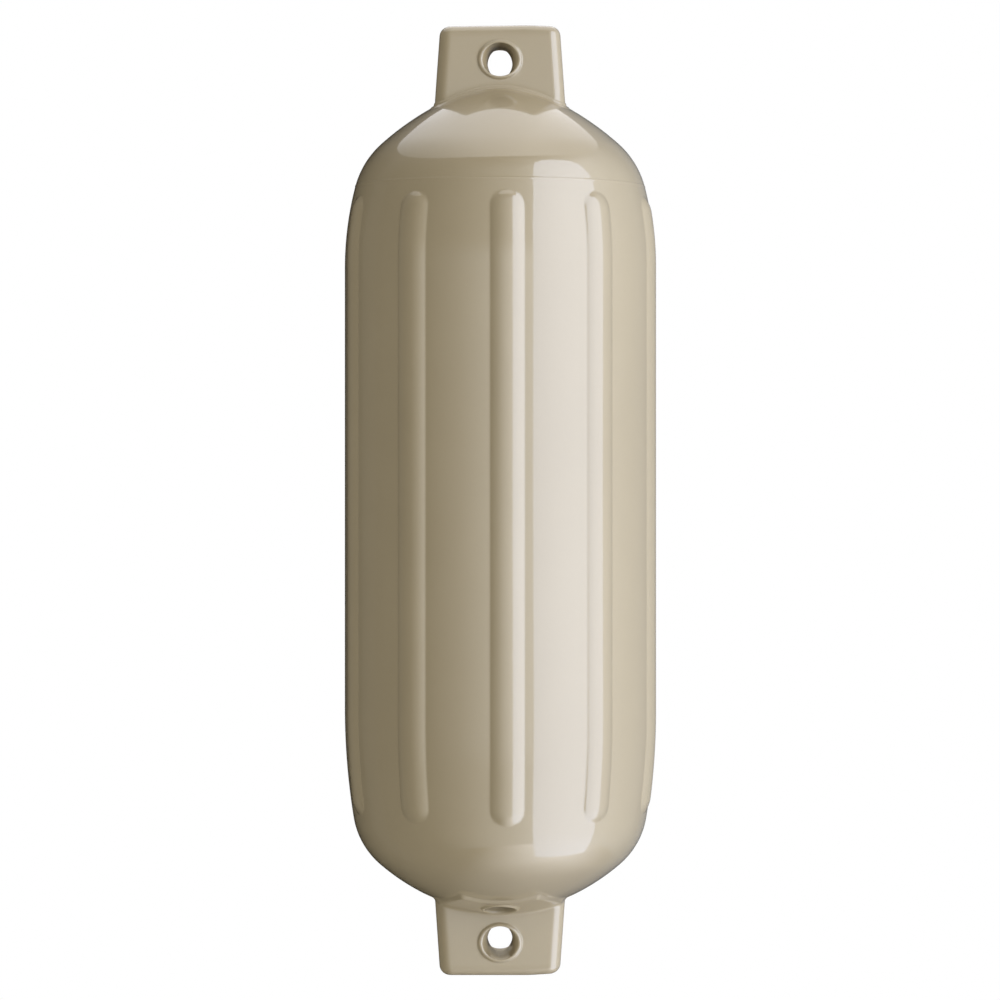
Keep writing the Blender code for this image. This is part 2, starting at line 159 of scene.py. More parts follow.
class FenderBarrel(PropertyGroup):
    """Sizes of the shell and its ribs."""

    radius: length("Radius", 111.4, "Of the barrel without its ribs")
    top_start: length("Top shoulder", 166.2, "Height at which the top shoulder starts")
    top_easing: length("Top easing", 231, "Radius of the top shoulder's first arc")
    top_easing_end: angle("Top easing's end", 14.55, "Steepness where the first arc ends")
    top_turn: length("Top turn", 61.8, "Radius of its second arc")
    top_turn_end: angle("Top turn's end", 48.1, "Steepness where the second arc ends")
    top_crown: length("Top crown", 205.7, "Radius of its last arc")
    low_start: length("Low shoulder", 149.6, "Depth at which the low shoulder starts")
    low_easing: length("Low easing", 487, "Radius of the low shoulder's first arc")
    low_easing_end: angle("Low easing's end", 9.25, "Steepness where the first arc ends")
    low_turn: length("Low turn", 54.4, "Radius of its second arc")
    low_turn_end: angle("Low turn's end", 48.8, "Steepness where the second arc ends")
    low_crown: length("Low crown", 156.3, "Radius of its last arc")
    ribs: IntProperty(
        name="Ribs", description="Number of ribs", default=10, min=2, subtype="UNSIGNED"
    )
    rib_crest: length("Rib crest", 24, "Radius of a rib's rounded crest")
    rib_height: length("Rib height", 3.0, "How far a rib stands out")
    rib_foot: length("Rib foot", 2.5, "Radius of the hollow fillet at a rib's foot")
    rib_top: length("Rib top", 216.2, "Height at which the ribs end")
    rib_bottom: length("Rib bottom", 223.0, "Depth at which the ribs end")
    rib_turn: angle("Rib turn", 2.5, "From the ears' front to the first rib")
    line_height: length("Parting line", 224.4, "Height of the mould's parting line")
    line_proud: length("Line height", 0.24, "How far the parting line stands out")
    line_width: length("Line width", 0.6, "Half the width of the parting line")
    line_tilt: length("Line tilt", 0.5, "How far the line sways up and down")


class FenderEars(PropertyGroup):
    """Sizes of the ears and their rope eyes."""

    tip_width: length("Tip width", 85.4, "Width of an ear at its tip")
    side_draft: angle("Side draft", 3.95, "Lean of an ear's sides")
    thickness: length("Thickness", 48, "From an ear's front to its back")
    edge: length("Edge", 6.5, "Radius of the edge round an ear's tip")
    corner: length("Corner", 8.5, "Radius of an ear's upright edges")
    tip_tilt: length("Tip tilt", 1.3, "How much lower the upper tip is on the left")
    corner_sag: length("Corner sag", 1.1, "How much a tip falls away at its right-hand corner")
    root_top: length("Upper root", 3.4, "Fillet at the upper ear's root")
    root_low: length("Lower root", 2.2, "Fillet at the lower ear's root")
    root_bead: length("Root bead", 0.4, "Height of the thin bead on the upper root")
    top_eye: length("Upper eye", 25.4, "From the upper ear's tip to the middle of its eye")
    low_eye: length("Lower eye", 24.0, "From the lower ear's tip to the middle of its eye")
    collar: length("Collar", 13.7, "Radius of the collar's crest round an eye")
    bead: length("Bead", 2.1, "Half the width of the collar's bead")
    bead_height: length("Bead height", 1.5, "How far the collar stands out")
    collar_squash: ratio("Collar squash", 0.89, "Height over width of a collar")
    waist: length("Waist", 8.9, "Half the width of an eye's waist")
    waist_length: length("Waist length", 16, "Straight stretch in the middle of an eye")
    top_stretch: ratio("Upper stretch", 1.32, "Height over width of the upper waist")
    low_stretch: ratio("Lower stretch", 1.25, "Height over width of the lower waist")
    top_drop: length("Upper drop", 0.7, "How much lower the upper waist is than its collar")


class FenderValve(PropertyGroup):
    """Sizes of the land and the recess for the valve."""

    slope: angle("Slope", 20.3, "Fall of the land towards the front")
    arch: length("Arch", 138, "Radius of the land across its slope")
    front: length("Front", 57, "From the axis to the land's front edge")
    front_dip: length("Front dip", 3, "How much further out the front corners are")
    front_width: length("Front width", 54, "Width of the land's front edge")
    back_width: length("Back width", 90, "Width of the land beside the ear")
    side: length("Side", 28, "From the axis to where the land narrows")
    proud: length("Proud", 1, "Height of the land over the dome at the ear")
    softness: length("Softness", 0.9, "Half the width of the land's soft edge")
    reach: length("Reach", 40, "From the axis to the valve")
    lip: length("Lip", 12.2, "Radius of the lip round the recess")
    lip_bead: length("Lip bead", 1.1, "Radius of the lip's section")
    pocket: length("Recess", 11, "Radius of the recess")
    pocket_depth: length("Depth", 8, "Depth of the recess")
    pocket_corner: length("Corner", 1.5, "Radius round the floor of the recess")
    bore: length("Bore", 6.9, "Radius of the bore for the seat")
    bore_depth: length("Bore depth", 31, "Depth of the bore below the land")


class FenderLooks(PropertyGroup):
    """Colours of the fender and its valve."""

    vinyl: colour("Vinyl", (0.366, 0.296, 0.176), "Sand-coloured soft vinyl")
    vinyl_deep: colour("Deep vinyl", (0.335, 0.269, 0.156), "Its darker cloudy shade")
    bush: colour("Bush", (0.05, 0.05, 0.05), "Black nylon")
    screw: colour("Screw", (0.6, 0.6, 0.58), "Pale grey plastic")
    seal: colour("Seal", (0.02, 0.02, 0.02), "Black rubber")
    floor: colour("Floor", (0.85, 0.85, 0.84), "Pale floor")
    card_tint: colour("Card tint", (0.75, 0.82, 1.00), "Of the tall card's cool light")
    top_tint: colour("Top tint", (0.99, 0.98, 1.00), "Of the round cards' light")
    eye_tint: colour("Eye tint", (1.0, 0.9, 0.72), "Of the small card's warm light")
    drape_tint: colour("Drape tint", (0.9, 0.94, 1.0), "Of the drape's cool light")


def brightness(title, default, description):
    """A card's or the surroundings' brightness, where 1 is white."""
    return FloatProperty(
        name=title, description=description, default=default, min=0, subtype="UNSIGNED"
    )


def power(title, default, description):
    """A lamp's power in watts."""
    return FloatProperty(name=title, description=description, default=default, min=0, unit="POWER")


class FenderStudio(PropertyGroup):
    """Strengths of the studio's lights."""

    fill: brightness("Fill", 0.64, "Of the even light from all round")
    key: power("Key", 14.0, "Of the lamp on the right")
    top: power("Top lamp", 2.0, "Of the lamp above the camera")
    low: power("Low lamp", 0.6, "Of the lamp that stands for light from the floor")
    side_card: brightness("Side card", 6.35, "Of the tall card mirrored on the right")
    top_card: brightness("Top card", 2.29, "Of the round card mirrored on top")
    left_card: brightness("Left card", 0.06, "Of the strip mirrored on the left")
    low_card: brightness("Low card", 5.0, "Of the round card mirrored underneath")
    eye_card: brightness("Eye card", 0.8, "Of the small card mirrored inside the lower eye")
    drape: brightness("Drape", 2.61, "Of the drape all round where it is brightest")


def packed(start, end, count, *crowds):
    """count + 1 places from start to end. Their spacing is the inverse of a density, 1 plus a
    bell curve for each crowd of (place, reach, strength), whose running sum is read backwards."""
    fine = np.linspace(start, end, 6001)
    density = np.ones_like(fine)
    for place, reach, strength in crowds:
        density += strength * np.exp(-(((fine - place) / reach) ** 2))
    total = np.concatenate(([0.0], np.cumsum((density[1:] + density[:-1]) / 2)))
    return np.interp(np.linspace(0, total[-1], count + 1), total, fine)


def smooth(x):
    """0 below 0, 1 above 1, and 3x^2 - 2x^3 between."""
    x = np.clip(x, 0, 1)
    return x * x * (3 - 2 * x)


class Shoulder:
    """The outline from the barrel to the axis: three arcs, each tangent to the one before."""

    def __init__(self, radius, start, easing, easing_end, turn, turn_end, crown):
        self.start = start
        self.radii = np.array([easing, turn, crown])
        self.ends = np.array([easing_end, turn_end])
        ways = np.stack([np.cos(self.ends), np.sin(self.ends)], axis=1)
        first = np.array([radius - easing, start])
        second = first + (easing - turn) * ways[0]
        third = second + (turn - crown) * ways[1]
        self.centres = np.array([first, second, third])
        self.arcs = np.array([easing * easing_end, turn * (turn_end - easing_end)])
        self.length = self.arcs.sum()
        self.rim = second[0] + turn * ways[1][0]

    def steepness(self, along):
        """Steepness this far along from the barrel: each arc's share of its length."""
        marks = np.array([0.0, self.arcs[0], self.length])
        return np.interp(along, marks, np.array([0.0, *self.ends]))

    def point(self, steep):
        """Radius and height where the outline is this steep: arc centre + radius * direction."""
        arc = (steep > self.ends[0]).astype(int)
        centre, radius = self.centres[arc], self.radii[arc]
        return centre[..., 0] + radius * np.cos(steep), centre[..., 1] + radius * np.sin(steep)

    def along(self, height):
        """Length of the first arc up to this height."""
        return self.radii[0] * np.arcsin((height - self.start) / self.radii[0])

    def height(self, x, y):
        """Height of the crown over (x, y): centre + the root of radius^2 - offset^2."""
        offset = np.hypot(x, y) - self.centres[2][0]
        return self.centres[2][1] + np.sqrt(self.radii[2] ** 2 - offset**2)


def shoulders(barrel):
    """The top and the low shoulder."""
    made = []
    for end in ("top", "low"):
        names = ("start", "easing", "easing_end", "turn", "turn_end", "crown")
        values = [getattr(barrel, f"{end}_{name}") for name in names]
        made.append(Shoulder(barrel.radius, *values))
    return made


class Land:
    """The pad round the valve, and the valve's axis, which stands square on it."""

    def __init__(self, valve, dome, ear_face):
        self.valve = valve
        self.dome = dome
        self.ear_face = ear_face
        self.crest = dome.height(0, ear_face) + valve.proud
        fall = np.tan(valve.slope) * (valve.reach - ear_face)
        self.centre = np.array([0, -valve.reach, fall - self.crest])
        self.out = np.array([0, -np.sin(valve.slope), -np.cos(valve.slope)])
        self.across = np.array([1.0, 0, 0])
        self.up = np.array([0, -np.cos(valve.slope), np.sin(valve.slope)])

    def drop(self, x):
        """How far the arch falls away at x: radius - the root of radius^2 - x^2."""
        return self.valve.arch - np.sqrt(self.valve.arch**2 - x**2)

    def inside(self, x, y):
        """Distance inside the land's outline in plan: the smallest of its distances from the
        curved front edge, the slanting edges and the sides."""
        v = self.valve
        x, reach = np.abs(x), -y
        half_front, half_back = v.front_width / 2, v.back_width / 2
        front = v.front + v.front_dip * (x / half_front) ** 2 - reach
        corner = np.array([half_front, v.front + v.front_dip])
        slant = np.array([corner[1] - v.side, half_back - half_front])
        slant /= np.linalg.norm(slant)
        slanted = (half_back - x) * slant[0] + (v.side - reach) * slant[1]
        edges = np.minimum(np.minimum(front, slanted), half_back - x)
        return np.where(reach > 0, edges, -1.0)

    def height(self, x, y):
        """Depth of the low end below the middle: the dome's, eased into the sloping arch's
        within the outline."""
        v = self.valve
        dome = self.dome.height(x, y)
        x = np.clip(x, -v.back_width, v.back_width)
        arch = self.crest - np.tan(v.slope) * (-y - self.ear_face) - self.drop(x) / np.cos(v.slope)
        share = smooth(self.inside(x, y) / (2 * v.softness) + 0.5)
        return dome + (arch - dome) * share


def column_angles(barrel, per_pitch=36):
    """Angles of the columns of points round the axis, from the middle of the front rib: even,
    but drawn together on each rib and at its two feet."""
    pitch = 2 * np.pi / barrel.ribs
    foot = rib_foot_reach(barrel) / barrel.radius
    near = 1.3 * MM / barrel.radius * 1.2
    crowds = [(side * 0.96 * foot, near, 3.2) for side in (-1, 1)] + [(0, foot, 0.5)]
    one = packed(-pitch / 2, pitch / 2, per_pitch, *crowds)[:-1]
    every = (one + pitch * np.arange(barrel.ribs)[:, None]).ravel()
    return np.roll(every, -(per_pitch // 2))


def rib_foot_reach(barrel):
    """Half a rib's width at its foot: crest and fillet arcs touch, so that the root of
    (crest + foot)^2 - (crest + foot - height)^2 lies between their centres."""
    both = barrel.rib_crest + barrel.rib_foot
    return np.sqrt(both**2 - (both - barrel.rib_height) ** 2)


def rib_rise(barrel, distance):
    """How far a rib stands out at this distance from its middle line: a round crest, then a
    hollow fillet down to nothing."""
    crest, foot = barrel.rib_crest, barrel.rib_foot
    reach = rib_foot_reach(barrel)
    touch = reach * crest / (crest + foot)
    high = np.sqrt(np.maximum(crest**2 - distance**2, 0)) - crest + barrel.rib_height
    low = foot - np.sqrt(np.maximum(foot**2 - (reach - distance) ** 2, 0))
    return np.where(distance < touch, high, np.where(distance < reach, low, 0))


def barrel_rows(barrel, top, low, columns):
    """Rows of points from the top crown's rim to the low one's: the turned outline, pushed out
    along its normal by the ribs and by the thin ring of the parting line."""
    top_rib, low_rib = top.along(barrel.rib_top), low.along(barrel.rib_bottom)
    top_line = top.along(barrel.line_height)
    reach = rib_foot_reach(barrel)
    upper = packed(
        top.start + top.length,
        top.start - 2 * reach,
        52,
        (top.start + top_line, 1.6 * MM, 9),
        (top.start + top_rib - 0.3 * reach, 0.8 * reach, 2.2),
        (top.start + top_rib - 0.5 * MM, 1.5 * MM, 2.5),
    )
    middle = np.linspace(top.start - 2 * reach, -low.start + 2 * reach, 12)[1:-1]
    lower = packed(
        -low.start + 2 * reach,
        -low.start - low.length,
        46,
        (-low.start - low_rib + 0.3 * reach, 0.8 * reach, 2.2),
        (-low.start - low_rib + 0.5 * MM, 1.5 * MM, 2.5),
    )
    s = np.concatenate([upper, middle, lower])[:, None]

    steep_top = top.steepness(np.maximum(s - top.start, 0))
    steep_low = low.steepness(np.maximum(-s - low.start, 0))
    top_radius, top_height = top.point(steep_top)
    low_radius, low_height = low.point(steep_low)
    upper_half = s > 0
    radius = np.where(upper_half, top_radius, low_radius)
    height = np.where(
        upper_half,
        top_height + np.minimum(s - top.start, 0),
        -low_height - np.minimum(-s - low.start, 0),
    )
    steep = np.where(upper_half, steep_top, -steep_low)

    pitch = 2 * np.pi / barrel.ribs
    from_rib = (columns + pitch / 2) % pitch - pitch / 2
    past_top = s - (top.start + top_rib - reach)
    past_low = -s - (low.start + low_rib - reach)
    past = np.maximum(np.maximum(past_top, past_low), 0)
    rise = rib_rise(barrel, np.hypot(radius * np.sin(from_rib), past))
    sway = barrel.line_tilt * np.sin(columns + 0.9)
    line = (s - top.start - top_line + sway) / barrel.line_width
    rise = rise + barrel.line_proud * np.exp(-(line**2))

    around = columns + barrel.rib_turn
    out = radius + rise * np.cos(steep)
    rows = [out * np.sin(around), -out * np.cos(around), height + rise * np.sin(steep)]
    return np.stack(np.broadcast_arrays(*rows), axis=2)


def ear_outline(columns, half_width, half_depth, corner, face_share):
    """A rounded rectangle and its outward normals. In each quarter the columns share out along
    the face up to face_share, round the corner, and then along the side."""
    wrapped = (columns + np.pi) % (2 * np.pi) - np.pi
    side = np.sign(wrapped)
    behind = np.abs(wrapped) > np.pi / 2
    share = np.where(behind, np.pi - np.abs(wrapped), np.abs(wrapped)) / (np.pi / 2)
    bend_share = face_share + 0.15
    bend = np.clip((share - face_share) / (bend_share - face_share), 0, 1) * np.pi / 2
    on_face = np.clip(share / face_share, 0, 1)
    on_side = np.clip((share - bend_share) / (1 - bend_share), 0, 1)
    facing = np.where(behind, 1, -1)
    x = side * ((half_width - corner) * on_face + corner * np.sin(bend))
    y = facing * ((half_depth - corner) * (1 - on_side) + corner * np.cos(bend))
    return np.stack([x, y], axis=-1), np.stack([side * np.sin(bend), facing * np.cos(bend)], axis=-1)


class Ear:
    """Rows of points from the middle of an ear's tip down to the crown's rim. Heights count
    from the middle of the fender towards the tip."""

    CAP_ROWS = 4
    EDGE_ROWS = 7
    WALL_ROWS = 20

    def __init__(self, ears, columns, turn, crown, rim, root, bead, tilt, dome_places):
        self.ears = ears
        self.columns = columns
        self.tip = CAD_HIGH.z
        self.tilt = tilt
        self.wall_start = self.CAP_ROWS + self.EDGE_ROWS - 1
        edge = ears.edge

        shares = np.arange(1, self.CAP_ROWS + 1) / (self.CAP_ROWS + 1)
        places = [self.ring(share, edge, self.tip) for share in shares]
        for bend in np.linspace(np.pi / 2, 0, self.EDGE_ROWS):
            inset = edge * (1 - np.cos(bend))
            places.append(self.ring(1, inset, self.tip - edge * (1 - np.sin(bend))))

        foot = self.root_height(crown)
        corner_xy, normal = self.outline(0, foot)
        for share in np.arange(1, self.WALL_ROWS + 1) / self.WALL_ROWS:
            height = self.tip - edge + (foot + root - self.tip + edge) * share
            places.append(self.ring(1, 0, height))

        top_xy, _ = self.outline(0, foot + root)
        low_xy = corner_xy + root * normal
        start = np.column_stack([top_xy, foot + root])
        bend_at = np.column_stack([corner_xy, foot])
        end = np.column_stack([low_xy, crown(low_xy[:, 0], low_xy[:, 1])])
        outward = np.column_stack([normal, np.ones(len(columns))]) / np.sqrt(2)
        steps = 12 if bead else 6
        for share in np.arange(1, steps + 1) / steps:
            curve = (1 - share) ** 2 * start + 2 * share * (1 - share) * bend_at + share**2 * end
            ridges = np.exp(-(((share - 0.3) / 0.13) ** 2)) + np.exp(-(((share - 0.78) / 0.13) ** 2))
            places.append(curve + outward * bead * ridges)
        self.dome_start = len(places) - 1

        around = columns + turn
        rim_xy = rim * np.column_stack([np.sin(around), -np.cos(around)])
        for share in dome_places[1:-1]:
            xy = low_xy + (rim_xy - low_xy) * share
            places.append(np.column_stack([xy, crown(xy[:, 0], xy[:, 1])]))
        self.rows = np.array(places)

    def outline(self, inset, height):
        ears = self.ears
        half_width = ears.tip_width / 2 + (self.tip - height) * np.tan(ears.side_draft) - inset
        half_depth = ears.thickness / 2 - inset
        return ear_outline(self.columns, half_width, half_depth, ears.corner - inset, 0.58)

    def ring(self, share, inset, height):
        """The outline at a height, shrunk to a share, and sunk on the left by the tip's tilt."""
        xy, _ = self.outline(inset, height)
        xy = xy * share
        height = np.broadcast_to(height, self.columns.shape)
        fade = smooth((height - self.tip) / (40 * MM) + 1)
        across = xy[:, 0] / self.ears.tip_width
        sink = np.maximum(self.tilt * (0.5 - across), 0)
        sink = sink + self.ears.corner_sag * smooth((across - 0.2) / 0.3)
        return np.column_stack([xy, height - sink * fade])

    def root_height(self, crown):
        """Where the ear's wall meets the crown, found by going back and forth three times."""
        height = np.full(len(self.columns), self.tip)
        for _ in range(3):
            xy, _ = self.outline(0, height)
            height = crown(xy[:, 0], xy[:, 1])
        return height


def quads(rows, closed):
    """Quads between neighbouring rows of point numbers, which close up after the last column."""
    if closed:
        rows = np.column_stack([rows, rows[:, :1]])
    corners = (rows[:-1, :-1], rows[1:, :-1], rows[1:, 1:], rows[:-1, 1:])
    return np.stack(corners, axis=-1).reshape(-1, 4)


class Skin:
    """Points and faces of the moulding, gathered as arrays."""

    def __init__(self, grid):
        self.points = [grid.reshape(-1, 3)]
        self.rows, self.columns = grid.shape[:2]
        self.count = self.rows * self.columns
        self.numbers = np.arange(self.count).reshape(self.rows, self.columns)
        self.open = np.zeros((self.rows - 1, self.columns), bool)
        self.faces = []

    def add(self, points):
        """Adds an array of points (..., 3) and returns their numbers in the same layout."""
        numbers = self.count + np.arange(points[..., 0].size).reshape(points.shape[:-1])
        self.points.append(points.reshape(-1, 3))
        self.count += points[..., 0].size
        return numbers

    def window(self, first, last, half, behind=False):
        """Opens the grid from row first to row last, half columns either side of the front or
        the back, and returns the numbers round the opening. The loops of a front and a back
        window mirror each other."""
        across = np.arange(-half, half + 1)
        turned = self.columns // 2 - across if behind else across
        columns = turned % self.columns
        cells = (turned[:-1] - 1 if behind else turned[:-1]) % self.columns
        self.open[first:last, cells] = True
        top = self.numbers[first, columns]
        right = self.numbers[first + 1 : last, columns[-1]]
        bottom = self.numbers[last, columns[::-1]]
        left = self.numbers[last - 1 : first : -1, columns[0]]
        return np.concatenate([top, right, bottom, left])

    def at(self, numbers):
        return np.concatenate(self.points)[numbers]

    def close(self, ring, point):
        """Fans a ring of point numbers in to one point."""
        tip = self.add(np.array(point, float).reshape(1, 3))[0]
        fan = np.column_stack([ring, np.roll(ring, -1), np.full(len(ring), tip)])
        self.faces.append(fan)

    def mesh(self, name):
        """Makes the mesh object, without the points that no face uses."""
        grid = quads(self.numbers, True)[~self.open.ravel()]
        points = np.concatenate(self.points)
        every = [grid, *self.faces]
        used = np.zeros(len(points), bool)
        for faces in every:
            used[faces.ravel()] = True
        renumber = np.cumsum(used) - 1
        loops = np.concatenate([renumber[faces].ravel() for faces in every])
        sizes = np.concatenate([np.full(len(faces), faces.shape[1]) for faces in every])
        return solid_object(name, points[used], loops, sizes)


def solid_object(name, points, loops, sizes):
    """A smooth mesh object from arrays, with its faces turned outwards."""
    mesh = bpy.data.meshes.new(name)
    mesh.vertices.add(len(points))
    mesh.vertices.foreach_set("co", points.astype(np.float32).ravel())
    mesh.loops.add(len(loops))
    mesh.loops.foreach_set("vertex_index", loops.astype(np.int32))
    mesh.polygons.add(len(sizes))
    mesh.polygons.foreach_set("loop_start", (np.cumsum(sizes) - sizes).astype(np.int32))
    mesh.update(calc_edges=True)
    mesh.validate()
    work = bmesh.new()
    work.from_mesh(mesh)
    bmesh.ops.recalc_face_normals(work, faces=work.faces)
    if work.calc_volume(signed=True) < 0:
        bmesh.ops.reverse_faces(work, faces=work.faces)
    work.to_mesh(mesh)
    work.free()
    mesh.shade_smooth()
    obj = bpy.data.objects.new(name, mesh)
    bpy.context.scene.collection.objects.link(obj)
    return obj


def collar_profile(ears):
    """Half of an eye's section as (distance from the eye's axis, height over the ear's middle
    plane, share of the way from the collar's squash to the waist's stretch): a hollow foot, a
    rounded bead, and a trumpet, a quarter of an ellipse, down to the waist."""
    face = ears.thickness / 2
    outer = ears.collar + ears.bead
    bend = np.radians([90, 65, 40, 20])
    foot_part = [
        outer + BEAD_FOOT - BEAD_FOOT * np.cos(bend),
        face + BEAD_FOOT - BEAD_FOOT * np.sin(bend),
    ]
    bend = np.radians(np.linspace(12, 84, 7))
    bead_part = [
        ears.collar + ears.bead * np.cos(bend),
        face + ears.bead_height * np.sin(bend),
    ]
    bend = np.radians(np.linspace(90, 0, 14))
    half_waist = ears.waist_length / 2
    trumpet = [
        ears.collar - (ears.collar - ears.waist) * np.cos(bend),
        half_waist + (face + ears.bead_height - half_waist) * np.sin(bend),
    ]
    radius, height = np.concatenate([foot_part, bead_part, trumpet], axis=1)
    share = smooth((ears.collar - radius) / (ears.collar - ears.waist))
    return radius, height, share


def cut_eye(skin, first_row, last_row, half, ears, height, stretch, drop):
    """Joins a front and a back window by the collar, the trumpet and the waist of an eye. The
    waist lies this much lower than the collar."""
    front = skin.window(first_row, last_row, half)
    back = skin.window(first_row, last_row, half, behind=True)
    edge = skin.at(front)
    way = np.arctan2(edge[:, 2] - height, edge[:, 0])
    radius, depth, share = collar_profile(ears)
    scale = ears.collar_squash + (stretch - ears.collar_squash) * share
    x = radius[:, None] * np.cos(way)
    z = height - (drop * share)[:, None] + (radius * scale)[:, None] * np.sin(way)
    y = np.broadcast_to(depth[:, None], x.shape)
    half_eye = np.stack([x, y, z], axis=2)
    flat = np.stack([edge + (half_eye[0] - edge) * part for part in (0.4, 0.75)])
    flat[..., 1] = ears.thickness / 2
    half_eye = np.concatenate([flat, half_eye])
    mirror = np.array([1, -1, 1])
    middle = half_eye[-1:] * np.array([1, 0, 1])
    eye = np.concatenate([half_eye * mirror, middle, half_eye[::-1]])
    rings = skin.add(eye)
    skin.faces.append(quads(np.concatenate([front[None], rings, back[None]]), True))


def recess_profile(valve):
    """The lip and the recess as (distance from the valve's axis, height over the land): the
    lip's round bead, the wall, the rounded floor and the bore."""
    bend = np.radians([8, 28, 50, 72, 92, 112, 130])
    lip = [valve.lip + valve.lip_bead * np.cos(bend), valve.lip_bead * np.sin(bend)]
    corner = valve.pocket_corner
    wall = [[valve.pocket] * 4, [0.6 * MM, -1.2 * MM, -3.5 * MM, corner - valve.pocket_depth]]
    bend = np.radians([-22, -45, -68, -90])
    turn = [
        valve.pocket - corner + corner * np.cos(bend),
        corner - valve.pocket_depth + corner * np.sin(bend),
    ]
    rim = 0.3 * MM
    bore = [
        [valve.bore + 2 * rim, valve.bore + rim, valve.bore, valve.bore, valve.bore],
        [
            -valve.pocket_depth,
            -valve.pocket_depth,
            -valve.pocket_depth - rim,
            -valve.pocket_depth - 4 * MM,
            -valve.bore_depth,
        ],
    ]
    return np.concatenate([lip, wall, turn, bore], axis=1)


def cut_recess(skin, first_row, last_row, half, land):
    """Fills a window in the land with the lip, the recess and the bore, which ends blind."""
    valve = land.valve
    loop = skin.window(first_row, last_row, half)
    edge = skin.at(loop)
    offset = edge - land.centre
    way = np.arctan2(offset @ land.up, offset @ land.across)
    round_way = np.cos(way)[:, None] * land.across + np.sin(way)[:, None] * land.up
    foot_radius = valve.lip + valve.lip_bead + BEAD_FOOT
    foot = land.centre + foot_radius * round_way
    flat = []
    for part in (0.3, 0.6, 0.85, 1.0):
        ring = edge + (foot - edge) * part
        ring[:, 2] = -land.height(ring[:, 0], ring[:, 1])
        flat.append(ring)
    radius, height = recess_profile(valve)
    sink = land.drop(radius[:, None] * np.cos(way)) * smooth(1 - height / valve.lip_bead)[:, None]
    sink = np.where(radius[:, None] > valve.lip, sink, 0)
    rings = land.centre + radius[:, None, None] * round_way
    rings = rings + (height[:, None] - sink)[..., None] * land.out
    numbers = skin.add(np.concatenate([flat, rings]))
    skin.faces.append(quads(np.concatenate([loop[None], numbers]), True))
    skin.close(numbers[-1], land.centre - valve.bore_depth * land.out)


class Value:
    """Wraps a socket or a number, so that an expression on values adds its Math nodes."""

    def __init__(self, look, socket):
        self.look = look
        self.socket = socket

    def maths(self, operation, first, second):
        return self.look.maths(operation, first, second)

    def __add__(self, other):
        return self.maths("ADD", self, other)

    def __radd__(self, other):
        return self.maths("ADD", other, self)

    def __sub__(self, other):
        return self.maths("SUBTRACT", self, other)

    def __rsub__(self, other):
        return self.maths("SUBTRACT", other, self)

    def __mul__(self, other):
        return self.maths("MULTIPLY", self, other)

    def __rmul__(self, other):
        return self.maths("MULTIPLY", other, self)


class Look:
    """Builds one node material."""

    def __init__(self, name, tree=None):
        self.material = None
        if tree is None:
            self.material = bpy.data.materials.new(name)
            self.material.use_nodes = True
            tree = self.material.node_tree
        self.tree = tree

    def node(self, kind, settings=None, *inputs, output=0, **named):
        """Adds a node of this type. Its settings come first, a ramp's stops among them, and
        then the values or links of its sockets, in order or by name."""
        node = self.tree.nodes.new(kind)
        for key, value in (settings or {}).items():
            if key == "stops":
                elements = node.color_ramp.elements
                for place, _ in value[1:-1]:
                    elements.new(place)
                for element, (place, shade) in zip(elements, value):
                    element.position, element.color = place, (*shade, 1)
            else:
                setattr(node, key, value)
        for slot, value in [*enumerate(inputs), *named.items()]:
            self.feed(node, slot, value)
        return Value(self, node.outputs[output]) if node.outputs else node

    def feed(self, node, slot, value):
        if isinstance(value, Value):
            self.tree.links.new(value.socket, node.inputs[slot])
        elif value is not None:
            node.inputs[slot].default_value = value

    def place(self, scale=(1, 1, 1)):
        """Object coordinates, stretched."""
        spot = self.node("ShaderNodeTexCoord", output="Object")
        return self.node("ShaderNodeMapping", None, spot, Scale=scale)

    def maths(self, operation, *values):
        return self.node("ShaderNodeMath", {"operation": operation}, *values)

    def parts(self, vector):
        """The three parts of a vector."""
        split = self.node("ShaderNodeSeparateXYZ", None, vector).socket.node
        return [Value(self, split.outputs[index]) for index in range(3)]

    def ramp(self, place, stops):
        """A grey level by place: stops of (place, level), with straight lines between."""
        return self.node(
            "ShaderNodeValToRGB",
            {"stops": [(at, (level, level, level)) for at, level in stops]},
            place,
        )

    def noise(self, place, scale, detail=2, roughness=0.5):
        return self.node(
            "ShaderNodeTexNoise", None, Vector=place, Scale=scale, Detail=detail, Roughness=roughness
        )

    def mix(self, share, first, second):
        """A colour between two."""
        settings = {"data_type": "RGBA"}
        made = self.node("ShaderNodeMix", settings, output=2)
        node = made.socket.node
        for slot, value in ((0, share), (6, first), (7, second)):
            self.feed(node, slot, value)
        return made

    def bump(self, height, strength, distance, normal=None):
        return self.node(
            "ShaderNodeBump", None, Strength=strength, Distance=distance, Height=height, Normal=normal
        )

    def shader(self, **sockets):
        """Sets the material's own shader. Underscores in a name stand for spaces."""
        shader = self.tree.nodes["Principled BSDF"]
        for name, value in sockets.items():
            self.feed(shader, name.replace("_", " "), value)
        return self.material


def rgba(shade, factor=1.0):
    return (*(factor * part for part in shade), 1.0)


